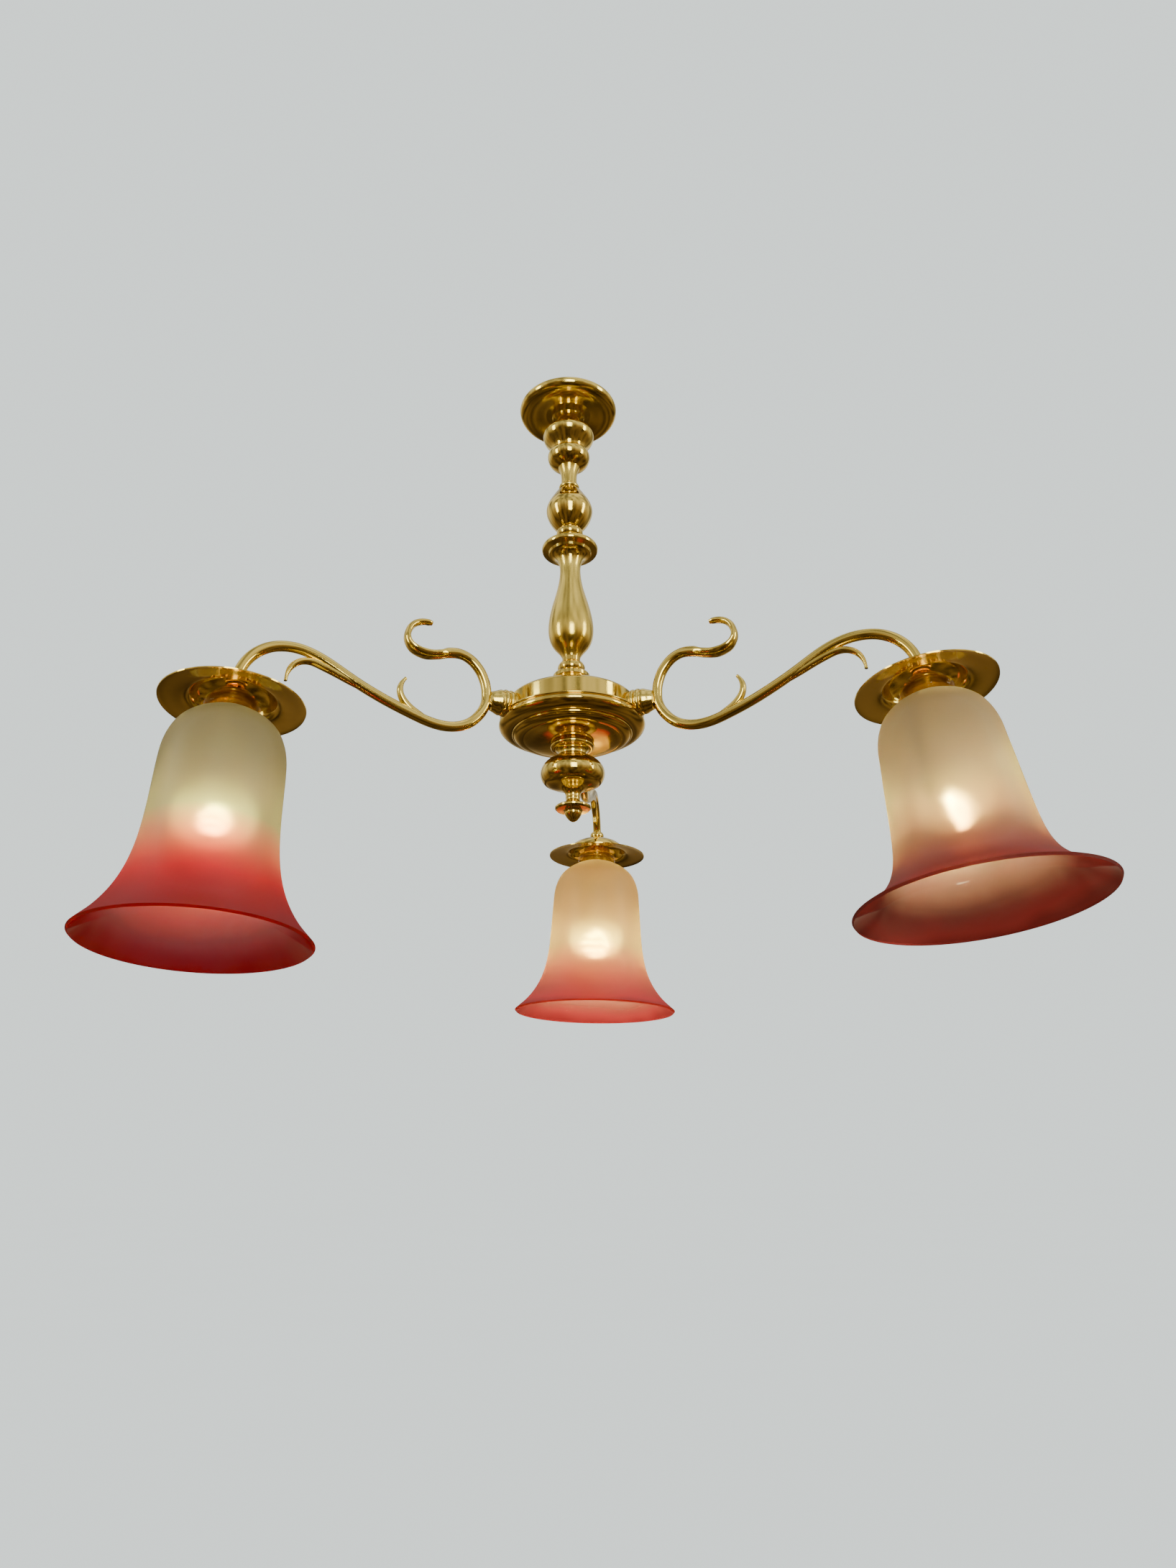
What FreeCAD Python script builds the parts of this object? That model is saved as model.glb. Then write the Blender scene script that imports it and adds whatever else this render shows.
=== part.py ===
import FreeCAD, Part
import math
import os

# Three-arm brass ceiling light with bell-shaped glass shades.
# Origin: centre of the ceiling rose where it meets the ceiling. +Z up, so the light hangs to -Z.
# All sizes in mm.

os.makedirs("parts", exist_ok=True)
V = FreeCAD.Vector

# ---- driving dimensions --------------------------------------------------------------------------
STEM_R, STEM_BORE_R = 5.0, 3.5          # threaded centre tube that everything is strung on
SLEEVE_BORE_R = 5.05                    # bore of the fixed turned pieces on the tube
RUNNING_BORE_R = 5.07                   # bore of the pieces that screw along the tube
STEM_TOP, STEM_BOTTOM = -2.0, -391.0

ROSE_R, ROSE_WALL = 48.0, 0.9
PLATE_R, PLATE_THICK, PLATE_HOLE_R, PLATE_HOLE_SPACING = 34.0, 2.5, 2.5, 50.0

DRUM_R, DRUM_TOP, DRUM_BOTTOM = 57.0, -326.0, -354.4
BODY_WALL = 1.4
PAN_R, PAN_RIM_TOP, PAN_WALL = 53.1, -353.0, 1.2
BODY_MOUTH_R = PAN_R + 0.3              # opening under the body that the pan closes

TUBE_R, TUBE_BORE_R = 4.4, 3.2          # arm tube
CABLE_R = 1.9
ARM_REACH = 290.0                       # nominal, lamp axis to shade axis at the saucer
NECK_Z = -350.0                         # height at which the arm turns down into the saucer
BOSS_Z = -337.0                         # height of the boss that holds each arm
SCROLL_END_R = 160.0                    # the arms are alike up to here; beyond it each has its own set

# Each arm as it was bent by hand: azimuth in degrees, reach and rise of its end in mm, outward lean
# and sideways set of its shade in degrees.
ARMS = {1: (-153.1, 283.5, -1.5, 2.6, 4.4), 2: (-24.9, 295.5, 3.4, 5.8, -3.9),
        3: (85.2, 289.5, -0.3, -0.5, 1.8)}

# Shade group, measured down the shade's own axis from the neck.
SAUCER_R, SAUCER_RIM, SAUCER_WALL = 53.7, -30.6, 0.9
HOLDER_R, HOLDER_BORE_R = 14.0, 11.6
HOLDER_TOP, HOLDER_BOTTOM = -23.0, -62.0
CARRIER_R, CARRIER_Z = 19.0, -30.7      # shoulder of the lampholder that the shade's neck hangs under
RING_TOP, RING_HEIGHT, RING_R = -34.2, 4.8, 16.9
SHADE_TOP, SHADE_NECK_R, SHADE_SHOULDER_Z = -31.2, 20.0, -40.6
SHADE_WALL = 2.2
# Each blown shade differs a little: radius of the body, radius of the rim, length of the bell from
# the neck, how much the body itself widens downwards, and how suddenly the rim flares.
SHADES = {1: (44.9, 79.1, 173.7, 2.0, 4.0), 2: (45.7, 88.6, 161.4, 7.6, 7.5),
          3: (47.9, 86.1, 164.3, 5.9, 4.5)}
# Rounded shoulder of a shade: (share of the way from neck to body radius, depth below the neck).
SHOULDER = ((0.0, 0.0), (0.136, 1.8), (0.442, 7.0), (0.698, 14.0), (0.865, 23.0), (0.961, 33.4),
            (0.995, 45.4), (1.0, 61.4))
BULB_CAP_TOP, BULB_CAP_BOTTOM, BULB_CAP_R = -41.0, -66.0, 11.53
PIN_REACH, PIN_Z = 12.9, -47.5          # bayonet pins of the bulb
BULB_R, BULB_END = 30.0, -152.0


# ---- helpers -------------------------------------------------------------------------------------
def edges_through(runs):
    """Edges along a profile: a run of two points is straight, a longer run is a smooth curve."""
    edges = []
    for run in runs:
        points = [V(r, 0, z) for r, z in run]
        if len(points) == 2:
            edges.append(Part.makeLine(points[0], points[1]))
        else:
            curve = Part.BSplineCurve()
            curve.interpolate(points)
            edges.append(curve.toShape())
    return edges


def turn(runs):
    """Solid of revolution about Z from a closed profile of (radius, z) runs."""
    first, last = runs[0][0], runs[-1][-1]
    if first != last:
        runs = runs + [[last, first]]
    face = Part.Face(Part.Wire(Part.__sortEdges__(edges_through(runs))))
    return face.revolve(V(0, 0, 0), V(0, 0, 1), 360)


def sleeve(runs, bore=SLEEVE_BORE_R):
    """Turned piece with an outside profile given top to bottom and a straight bore."""
    top, bottom = runs[0][0], runs[-1][-1]
    return turn([[(bore, top[1]), top]] + runs + [[bottom, (bore, bottom[1])]])


def offset_run(run, distance, samples=24):
    """Points of a smooth run moved sideways by a wall thickness (positive: to the left of travel)."""
    curve = Part.BSplineCurve()
    curve.interpolate([V(r, 0, z) for r, z in run])
    start, end = curve.FirstParameter, curve.LastParameter
    moved = []
    for i in range(samples + 1):
        at = start + (end - start) * i / samples
        point, along = curve.value(at), curve.tangent(at)[0]
        moved.append((point.x - along.z * distance, point.z + along.x * distance))
    return moved


def cylinder(radius, top, bottom, bore=0.0):
    tube = Part.makeCylinder(radius, top - bottom, V(0, 0, bottom))
    if bore:
        tube = tube.cut(Part.makeCylinder(bore, top - bottom + 2, V(0, 0, bottom - 1)))
    return tube


def path_through(points):
    """Smooth curve through points in the XZ plane."""
    curve = Part.BSplineCurve()
    curve.interpolate([V(x, 0, z) for x, z in points])
    return curve


def pipe(curve, radius):
    start = curve.FirstParameter
    ring = Part.Wire([Part.Circle(curve.value(start), curve.tangent(start)[0], radius).toShape()])
    return Part.Wire([curve.toShape()]).makePipeShell([ring], True, False)


def tapered(points, sizes, sections=9):
    """Rod through points in the XZ plane, lofted through oval sections (half height, half width)."""
    curve = path_through(points)
    start, end = curve.FirstParameter, curve.LastParameter
    wires = []
    for i in range(sections):
        share = i / (sections - 1)
        at = start + (end - start) * share
        centre, along = curve.value(at), curve.tangent(at)[0]
        across = V(-along.z, 0, along.x)
        spot = share * (len(sizes) - 1)
        low = min(int(spot), len(sizes) - 2)
        mix = spot - low
        high = sizes[low][0] * (1 - mix) + sizes[low + 1][0] * mix
        wide = sizes[low][1] * (1 - mix) + sizes[low + 1][1] * mix
        rim = []
        for k in range(12):
            turn_angle = 2 * math.pi * k / 12
            rim.append(centre + across * (high * math.cos(turn_angle)) + V(0, wide * math.sin(turn_angle), 0))
        oval = Part.BSplineCurve()
        oval.interpolate(Points=rim, PeriodicFlag=True)
        wires.append(Part.Wire([oval.toShape()]))
    return Part.makeLoft(wires, True, False)


def bell_outside(arm, steps=10):
    """Outside of a shade's bell from neck to rim, as (radius, z) points on the shade's own axis."""
    body, rim, length, widening, flare = SHADES[arm]
    last_share, last_depth = SHOULDER[-1]
    rings = list(SHOULDER)
    rings += [(last_share, last_depth + (length - last_depth) * i / steps) for i in range(1, steps + 1)]
    points = []
    for share, depth in rings:
        down = max(0.0, (depth - 45.0) / (length - 45.0))
        radius = SHADE_NECK_R + (body - SHADE_NECK_R) * share
        radius += widening * down + (rim - body - widening) * down ** flare
        points.append((radius, SHADE_SHOULDER_Z - depth))
    return points


def bent(points, arm):
    """Points of the nominal arm line moved to where this arm's own reach and rise put them."""
    _, reach, rise, _, _ = ARMS[arm]
    moved = []
    for r, z in points:
        out = max(0.0, (r - SCROLL_END_R) / (ARM_REACH - SCROLL_END_R))
        moved.append((r + (reach - ARM_REACH) * out, z + rise * min(1.0, 2.0 * out)))
    return moved


def place_shade(shape, arm):
    """From the shade's own axis (neck at the origin) to its place on an arm."""
    azimuth, reach, rise, lean, side = ARMS[arm]
    shape = shape.copy()
    shape.rotate(V(0, 0, 0), V(0, 1, 0), -lean)
    shape.rotate(V(0, 0, 0), V(1, 0, 0), side)
    shape.translate(V(reach, 0, NECK_Z + rise))
    shape.rotate(V(0, 0, 0), V(0, 0, 1), azimuth)
    return shape


def place_arm(shape, arm):
    shape = shape.copy()
    shape.rotate(V(0, 0, 0), V(0, 0, 1), ARMS[arm][0])
    return shape


parts = {}

# ---- ceiling fixing ------------------------------------------------------------------------------
plate = cylinder(PLATE_R, 0.0, -PLATE_THICK, SLEEVE_BORE_R)
for side in (-1, 1):
    plate = plate.cut(Part.makeCylinder(PLATE_HOLE_R, 10, V(side * PLATE_HOLE_SPACING / 2, 0, -5)))
parts["ceiling_plate"] = plate

nut = Part.Face(Part.makePolygon([V(8 * math.cos(math.radians(60 * i)), 8 * math.sin(math.radians(60 * i)), 0)
                                  for i in range(7)])).extrude(V(0, 0, -2.6))
nut = nut.cut(Part.makeCylinder(STEM_R, 10, V(0, 0, -5)))
plate_nut, drum_nut = nut.copy(), nut.copy()
plate_nut.translate(V(0, 0, -PLATE_THICK))
drum_nut.translate(V(0, 0, -318.0))
parts["stem_nuts"] = Part.makeCompound([plate_nut, drum_nut])

parts["stem_tube"] = cylinder(STEM_R, STEM_TOP, STEM_BOTTOM, STEM_BORE_R)

rose_face = [(ROSE_R - 1.5, 0.0), (ROSE_R, -3.0), (46.6, -6.8), (41.0, -9.4), (32.0, -9.2), (22.0, -7.4)]
rose_back = offset_run(rose_face, -ROSE_WALL)
rose_back[0] = (rose_back[0][0], 0.0)
parts["rose_canopy"] = turn([
    rose_face, [rose_face[-1], (16.2, -7.4)], [(16.2, -7.4), (16.2, -10.6)],
    [(16.2, -10.6), (15.0, -11.8)], [(15.0, -11.8), (7.0, -11.8)], [(7.0, -11.8), (7.0, -10.6)],
    [(7.0, -10.6), (15.0, rose_back[-1][1])], [(15.0, rose_back[-1][1]), rose_back[-1]],
    rose_back[::-1], [rose_back[0], rose_face[0]]])

parts["rose_ring"] = sleeve([
    [(10.4, -12.0), (10.9, -14.0), (12.6, -18.5), (15.4, -22.4)],
    [(15.4, -22.4), (15.4, -24.6)], [(15.4, -24.6), (14.2, -25.5)]], bore=RUNNING_BORE_R)

# ---- column, top to bottom -----------------------------------------------------------------------
parts["cup_knop"] = sleeve([
    [(13.5, -28.0), (14.0, -28.6)],
    [(14.0, -28.6), (20.5, -29.2), (24.6, -31.6), (24.9, -34.5), (22.6, -40.0), (17.4, -46.0),
     (15.2, -50.0)]])
parts["ball_knop"] = sleeve([
    [(13.6, -50.0), (16.8, -51.4), (19.9, -55.0), (20.5, -59.0), (18.6, -64.6), (13.8, -69.0),
     (10.4, -71.0)]])
parts["upper_neck"] = sleeve([
    [(10.4, -71.0), (8.6, -75.5), (7.5, -83.6), (7.7, -91.0)],
    [(7.7, -91.0), (9.4, -92.2), (9.8, -94.0), (8.6, -96.0)]])
parts["baluster_knop"] = sleeve([
    [(8.6, -96.0), (10.6, -98.0), (15.6, -105.5), (20.4, -114.0), (22.1, -121.0),
     (20.4, -129.0), (15.6, -137.5), (11.0, -142.5)]])
parts["disc_collar"] = sleeve([
    [(11.0, -142.5), (12.4, -145.0), (12.4, -148.0), (10.4, -151.5)],
    [(10.4, -151.5), (12.5, -157.0), (17.0, -160.4), (23.0, -161.6)],
    [(23.0, -161.6), (25.9, -162.4), (26.4, -164.4), (25.6, -166.8)],
    [(25.6, -166.8), (20.5, -168.0)], [(20.5, -168.0), (19.5, -170.0)],
    [(19.5, -170.0), (14.0, -173.0), (11.2, -178.0)]])
parts["pear_baluster"] = sleeve([
    [(11.2, -178.0), (9.8, -184.0), (9.7, -190.0), (12.2, -207.5), (17.2, -226.5), (20.3, -243.0),
     (20.6, -254.0), (16.6, -267.0), (10.4, -275.0), (8.2, -279.5)]])
parts["bead_ring"] = sleeve([
    [(8.2, -279.5), (8.1, -283.5)],
    [(8.1, -283.5), (11.2, -286.2), (12.4, -290.0), (11.0, -294.0), (9.6, -296.0)]])

# ---- body: drum with a rounded lower rim, closed below by the pan ---------------------------------
drum_roof = [(17.5, -310.2), (36.0, -315.8), (52.0, -321.6), (56.0, -324.4), (DRUM_R, DRUM_TOP)]
rim_bead = [(DRUM_R, -340.6), (60.4, -341.0), (63.2, -341.6), (63.9, -342.6), (63.3, -343.6), (62.4, -344.1)]
rim_roll = [(62.4, -344.1), (64.2, -345.4), (64.6, -347.4), (62.8, -350.6), (58.8, -353.2),
            (BODY_MOUTH_R, DRUM_BOTTOM)]
roll_inside = offset_run(rim_roll, -BODY_WALL)
roof_inside = offset_run(drum_roof, -BODY_WALL)
drum_bore = DRUM_R - BODY_WALL
drum = turn([
    [(SLEEVE_BORE_R, -296.0), (15.6, -296.0)], [(15.6, -296.0), (16.6, -297.4)],
    [(16.6, -297.4), (16.6, -300.6)], [(16.6, -300.6), (14.2, -302.6), (14.0, -306.0), (17.5, -310.2)],
    drum_roof, [(DRUM_R, DRUM_TOP), (DRUM_R, -340.6)], rim_bead, rim_roll,
    [rim_roll[-1], roll_inside[-1]], roll_inside[::-1], [roll_inside[0], (drum_bore, -342.6)],
    [(drum_bore, -342.6), (drum_bore, roof_inside[-1][1])],
    [(drum_bore, roof_inside[-1][1]), roof_inside[-2]], roof_inside[-2:0:-1],
    [roof_inside[1], (17.0, -318.0)], [(17.0, -318.0), (SLEEVE_BORE_R, -318.0)]])
wire_way = Part.makeCylinder(TUBE_BORE_R, 30, V(DRUM_R - 12, 0, BOSS_Z), V(1, 0, 0))
for arm in ARMS:
    drum = drum.cut(place_arm(wire_way, arm))
parts["body_drum"] = drum

pan_rim = [(PAN_R, PAN_RIM_TOP), (PAN_R, -355.2)]
pan_edge = [(PAN_R, -355.2), (52.6, -356.2), (51.4, -356.6)]
pan_side = [(51.4, -356.6), (49.4, -358.2), (46.0, -359.5), (43.0, -359.9)]
pan_floor = [(43.0, -359.9), (38.0, -361.2), (30.0, -362.4), (17.8, -363.4)]
pan_inner = PAN_R - PAN_WALL
parts["pan_dish"] = turn([
    pan_rim, pan_edge, pan_side, pan_floor, [pan_floor[-1], (RUNNING_BORE_R, -363.4)],
    [(RUNNING_BORE_R, -363.4), (RUNNING_BORE_R, -362.2)], [(RUNNING_BORE_R, -362.2), (17.8, -362.2)],
    [(17.8, -362.2), (30.0, -361.2), (38.0, -360.0), (42.6, -358.7)],
    [(42.6, -358.7), (45.6, -358.3), (48.8, -357.1), (50.6, -355.6)],
    [(50.6, -355.6), (pan_inner, -354.8)], [(pan_inner, -354.8), (pan_inner, PAN_RIM_TOP)],
    [(pan_inner, PAN_RIM_TOP), (PAN_R, PAN_RIM_TOP)]])

parts["pan_neck"] = sleeve([
    [(17.4, -363.4), (19.0, -364.8), (19.4, -366.6), (18.6, -368.2), (16.8, -368.9)],
    [(16.8, -368.9), (13.8, -370.4), (12.4, -373.2), (12.6, -376.0)]], bore=RUNNING_BORE_R)

# ---- finial --------------------------------------------------------------------------------------
knop_bore_end = STEM_BOTTOM - 2.0
parts["finial_knop"] = turn([
    [(RUNNING_BORE_R, -376.3), (12.8, -376.3)],
    [(12.8, -376.3), (19.5, -379.2), (25.8, -385.0), (28.0, -391.6), (26.6, -397.6), (24.6, -400.4)],
    [(24.6, -400.4), (23.0, -400.9)],
    [(23.0, -400.9), (16.6, -403.8), (9.6, -406.8), (6.6, -410.6), (6.4, -414.0)],
    [(6.4, -414.0), (0.0, -414.0)], [(0.0, -414.0), (0.0, knop_bore_end)],
    [(0.0, knop_bore_end), (RUNNING_BORE_R, knop_bore_end)],
    [(RUNNING_BORE_R, knop_bore_end), (RUNNING_BORE_R, -376.3)]])
parts["finial_tip"] = turn([
    [(0.0, -414.0), (6.4, -414.0)], [(6.4, -414.0), (6.6, -417.4), (9.4, -420.2), (14.4, -421.4)],
    [(14.4, -421.4), (15.6, -422.4)], [(15.6, -422.4), (15.6, -423.8)], [(15.6, -423.8), (14.2, -425.2)],
    [(14.2, -425.2), (8.4, -425.6)], [(8.4, -425.6), (7.4, -426.6)],
    [(7.4, -426.6), (7.2, -428.6), (5.4, -432.0), (2.4, -435.0), (0.0, -435.8)],
    [(0.0, -435.8), (0.0, -414.0)]])

# Terminal block under the drum's roof, where the three arm cables join the supply.
block = Part.makeBox(34, 12, 10, V(-17, 14, -331.0))
for i in range(3):
    block = block.cut(Part.makeCylinder(1.8, 20, V(-11 + 11 * i, 10, -326.0), V(0, 1, 0)))
tab = Part.makeBox(34, 5, 6.0, V(-17, 17.5, -322.0))
parts["terminal_block"] = block.fuse(tab).cut(turn([
    [(0, -300), (70, -300)], [(70, -300), (70, roof_inside[-2][1])],
    [(70, roof_inside[-2][1]), roof_inside[-2]], roof_inside[-2:0:-1],
    [roof_inside[1], (17.0, -318.0)], [(17.0, -318.0), (0.0, -318.0)], [(0.0, -318.0), (0, -300)]]))

# ---- arms ----------------------------------------------------------------------------------------
# The arm tube and the scroll above it run on from each other in one C, held by the boss at its back.
C_BACK = (81.3, -333.5)
arm_line = [C_BACK, (81.9, -340.5), (84.6, -347.6), (88.8, -354.0), (94.6, -360.0), (102.0, -364.6),
            (111.4, -367.4), (122.0, -367.9), (133.0, -366.2), (144.0, -363.0), (156.0, -359.0),
            (168.0, -354.6), (181.5, -349.0), (194.0, -343.2), (206.3, -336.8), (218.5, -330.4),
            (230.5, -325.4), (242.0, -322.6), (253.5, -322.3), (264.5, -324.7), (274.0, -329.8),
            (281.6, -337.0), (286.8, -345.4), (289.9, -355.0)]
scroll_line = [C_BACK, (81.8, -326.5), (83.6, -319.4), (87.4, -311.2), (93.8, -303.9), (100.8, -299.8),
               (108.5, -298.4), (117.5, -299.8), (126.3, -302.4), (134.5, -304.0), (142.4, -303.2),
               (148.4, -300.3), (151.7, -295.6), (152.4, -289.6), (150.2, -282.6), (145.2, -277.4),
               (138.6, -275.0), (131.9, -274.9)]
scroll_sizes = [(4.4, 4.4), (4.4, 4.4), (4.4, 4.4), (4.7, 4.8), (5.2, 7.2), (4.6, 7.0), (3.4, 5.0),
                (2.9, 4.0), (2.7, 3.6)]
scroll = tapered(scroll_line, scroll_sizes, sections=21)
spur_inner = tapered([(133.0, -364.6), (141.0, -361.4), (148.8, -356.6), (154.6, -350.2),
                      (157.0, -342.6), (155.6, -336.0), (152.6, -331.3)],
                     [(2.6, 2.8), (3.2, 3.6), (3.2, 3.6), (2.6, 3.2), (1.4, 1.8)])
spur_line = [(187.0, -347.6), (199.0, -343.2), (211.0, -338.4), (223.0, -334.2), (233.0, -331.7),
             (241.5, -332.8), (248.0, -337.8), (251.8, -344.4), (252.8, -352.0)]
spur_sizes = [(2.6, 2.8), (3.2, 3.6), (3.2, 3.8), (2.6, 3.2), (1.4, 1.8)]

# Boss: two collars and a taper, bored for the cable, standing on the drum and saddled on the C.
boss_outside = [
    [(10.2, 0.0), (10.2, 1.4)], [(10.2, 1.4), (11.6, 2.2), (12.0, 3.6), (11.4, 5.2)],
    [(11.4, 5.2), (10.5, 5.8)], [(10.5, 5.8), (11.5, 6.6), (12.0, 8.2), (11.4, 9.8)],
    [(11.4, 9.8), (10.8, 10.4)], [(10.8, 10.4), (11.2, 12.4), (9.9, 16.0), (8.8, 19.0), (7.6, 21.6)],
    [(7.6, 21.6), (5.6, 22.6)]]
boss_root = -2.5                        # the boss starts inside the drum's curve and is cut back to it
boss = turn([[(TUBE_BORE_R, boss_root), (10.2, boss_root)], [(10.2, boss_root), (10.2, 0.0)]]
            + boss_outside + [[(5.6, 22.6), (TUBE_BORE_R, 22.6)],
                              [(TUBE_BORE_R, 22.6), (TUBE_BORE_R, boss_root)]])
boss.rotate(V(0, 0, 0), V(0, 1, 0), 90)
boss.translate(V(DRUM_R, 0, BOSS_Z))
body_fill = turn([drum_roof, [(DRUM_R, DRUM_TOP), (DRUM_R, -340.6)], rim_bead, rim_roll,
                  [rim_roll[-1], (0.0, DRUM_BOTTOM)], [(0.0, DRUM_BOTTOM), (0.0, -310.2)],
                  [(0.0, -310.2), drum_roof[0]]])
saddle = Part.makeCylinder(TUBE_R + 0.05, 40, V(C_BACK[0], 0, BOSS_Z - 20))     # the C lies in this
boss = boss.cut(body_fill).cut(saddle)

boss_bore = Part.makeCylinder(TUBE_BORE_R, 20.0, V(C_BACK[0] - 20.0, 0, BOSS_Z), V(1, 0, 0))
cable_bend = [(72.0, -336.8), (76.6, -336.5), (80.2, -338.2), (81.8, -341.6), (83.5, -345.6)]
arm_shapes = {}
for arm in ARMS:
    line = bent(arm_line, arm)
    curve = path_through(line)
    fill = pipe(curve, TUBE_R)
    spur_outer = tapered(bent(spur_line, arm), spur_sizes)
    scroll_pieces = scroll.cut(fill).Solids
    arm_shapes[arm] = {"arm_tube": fill.cut(pipe(curve, TUBE_BORE_R)).cut(boss_bore),
                       "arm_boss": boss,
                       "scroll_leaf": max(scroll_pieces, key=lambda solid: solid.Volume),
                       "spur_inner": spur_inner.cut(fill), "spur_outer": spur_outer.cut(fill),
                       "fill": fill, "line": line}

# ---- shade group, on its own axis ----------------------------------------------------------------
saucer_outside = [(6.4, -11.0), (15.0, -12.4), (24.5, -16.4), (29.5, -21.6), (32.0, -26.4), (38.0, -28.6),
                  (47.0, -29.6), (SAUCER_R, SAUCER_RIM)]
saucer_inside = offset_run(saucer_outside, -SAUCER_WALL)
saucer = turn([saucer_outside, [saucer_outside[-1], saucer_inside[-1]], saucer_inside[::-1],
               [saucer_inside[0], saucer_outside[0]]])
holder_cap = turn([
    [(TUBE_R + 0.05, -3.0), (6.0, -3.0)], [(6.0, -3.0), (7.4, -5.0), (7.6, -8.0), (6.3, -10.4)],
    [(6.3, -10.4), (5.4, -10.6)], [(5.4, -10.6), (5.4, -12.4)],
    [(5.4, -12.4), (7.8, -12.6)], [(7.8, -12.6), (8.0, -18.0), (10.4, -21.0), (HOLDER_R - 0.4, HOLDER_TOP)],
    [(HOLDER_R - 0.4, HOLDER_TOP), (TUBE_R + 0.05, HOLDER_TOP)],
    [(TUBE_R + 0.05, HOLDER_TOP), (TUBE_R + 0.05, -3.0)]])
holder_cap = holder_cap.cut(saucer)

holder_profile = [[(HOLDER_BORE_R, HOLDER_TOP), (HOLDER_R, HOLDER_TOP)]]
groove_top = HOLDER_TOP
for i in range(3):
    top, bottom = groove_top - 2.2 * i, groove_top - 2.2 * (i + 1)
    holder_profile += [[(HOLDER_R, top), (HOLDER_R + 1.0, (top + bottom) / 2)],
                       [(HOLDER_R + 1.0, (top + bottom) / 2), (HOLDER_R, bottom)]]
ridge_end = groove_top - 6.6
holder_profile += [
    [(HOLDER_R, ridge_end), (CARRIER_R, ridge_end)], [(CARRIER_R, ridge_end), (CARRIER_R, CARRIER_Z)],
    [(CARRIER_R, CARRIER_Z), (HOLDER_R, CARRIER_Z)], [(HOLDER_R, CARRIER_Z), (HOLDER_R, HOLDER_BOTTOM + 2)],
    [(HOLDER_R, HOLDER_BOTTOM + 2), (HOLDER_R - 0.8, HOLDER_BOTTOM)],
    [(HOLDER_R - 0.8, HOLDER_BOTTOM), (HOLDER_BORE_R, HOLDER_BOTTOM)],
    [(HOLDER_BORE_R, HOLDER_BOTTOM), (HOLDER_BORE_R, HOLDER_TOP)]]
holder_shell = turn(holder_profile)
slot_half = PIN_REACH + 0.3
holder_shell = holder_shell.cut(Part.makeBox(2 * slot_half, 2.4, 20, V(-slot_half, -1.2, PIN_Z + 1.2 - 20)))

holder_core = cylinder(HOLDER_BORE_R, HOLDER_TOP, -34.0)
for side in (-1, 1):
    holder_core = holder_core.fuse(Part.makeCylinder(1.9, 6.2, V(4.2 * side, 0, -40.2)))

shade_ring = cylinder(RING_R, RING_TOP, RING_TOP - RING_HEIGHT, HOLDER_R + 0.07)
for i in range(24):
    notch = Part.makeCylinder(0.7, RING_HEIGHT + 2, V(RING_R + 0.2, 0, RING_TOP - RING_HEIGHT - 1))
    notch.rotate(V(0, 0, 0), V(0, 0, 1), 15 * i)
    shade_ring = shade_ring.cut(notch)

shade_neck = [[(14.8, SHADE_TOP), (18.6, SHADE_TOP)], [(18.6, SHADE_TOP), (20.0, -32.4)]]
neck_ridges = [(20.0, -32.4), (21.0, -33.8), (20.0, -35.2), (21.0, -36.8), (20.0, -38.4)]
shade_neck += [neck_ridges, [(20.0, -38.4), (20.0, -40.6)]]


def blown_shade(arm):
    bell = bell_outside(arm)
    inside = offset_run(bell, -SHADE_WALL, samples=40)
    return turn(shade_neck + [
        bell, [bell[-1], inside[-1]], inside[::-1], [inside[0], (17.6, -39.6)],
        [(17.6, -39.6), (17.6, -33.9)], [(17.6, -33.9), (14.8, -33.9)], [(14.8, -33.9), (14.8, SHADE_TOP)]])


bulb_cap = cylinder(BULB_CAP_R, BULB_CAP_TOP, BULB_CAP_BOTTOM)
pins = Part.makeCylinder(1.0, 2 * PIN_REACH, V(-PIN_REACH, 0, PIN_Z), V(1, 0, 0))
bulb_cap = bulb_cap.fuse(pins)
bulb_outside = [(BULB_CAP_R, BULB_CAP_BOTTOM), (11.6, -72.0), (14.2, -82.0), (21.4, -96.0), (27.8, -109.0),
                (BULB_R, -121.0), (27.6, -134.6), (19.6, -145.6), (9.6, -150.8), (0.0, BULB_END)]
bulb_inside = [(9.9, BULB_CAP_BOTTOM), (10.5, -72.4), (13.2, -82.5), (20.4, -96.4), (26.7, -109.2),
               (28.9, -121.0), (26.6, -134.0), (18.9, -144.6), (9.3, -149.6), (0.0, BULB_END + 1.2)]
bulb_glass = turn([bulb_outside, [(0.0, BULB_END), (0.0, BULB_END + 1.2)], bulb_inside[::-1],
                   [(9.9, BULB_CAP_BOTTOM), (BULB_CAP_R, BULB_CAP_BOTTOM)]])

on_shade = {"saucer": saucer, "holder_cap": holder_cap, "holder_shell": holder_shell,
            "holder_core": holder_core, "shade_ring": shade_ring, "bulb_cap": bulb_cap,
            "bulb_glass": bulb_glass}
for arm in ARMS:
    for name in ("arm_boss", "arm_tube", "scroll_leaf", "spur_inner", "spur_outer"):
        parts["%s_%d" % (name, arm)] = place_arm(arm_shapes[arm][name], arm)
    for name, shape in on_shade.items():
        parts["%s_%d" % (name, arm)] = place_shade(shape, arm)
    parts["shade_glass_%d" % arm] = place_shade(blown_shade(arm), arm)
    tube = place_arm(arm_shapes[arm]["fill"], arm)
    parts["holder_cap_%d" % arm] = parts["holder_cap_%d" % arm].cut(tube)

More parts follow.
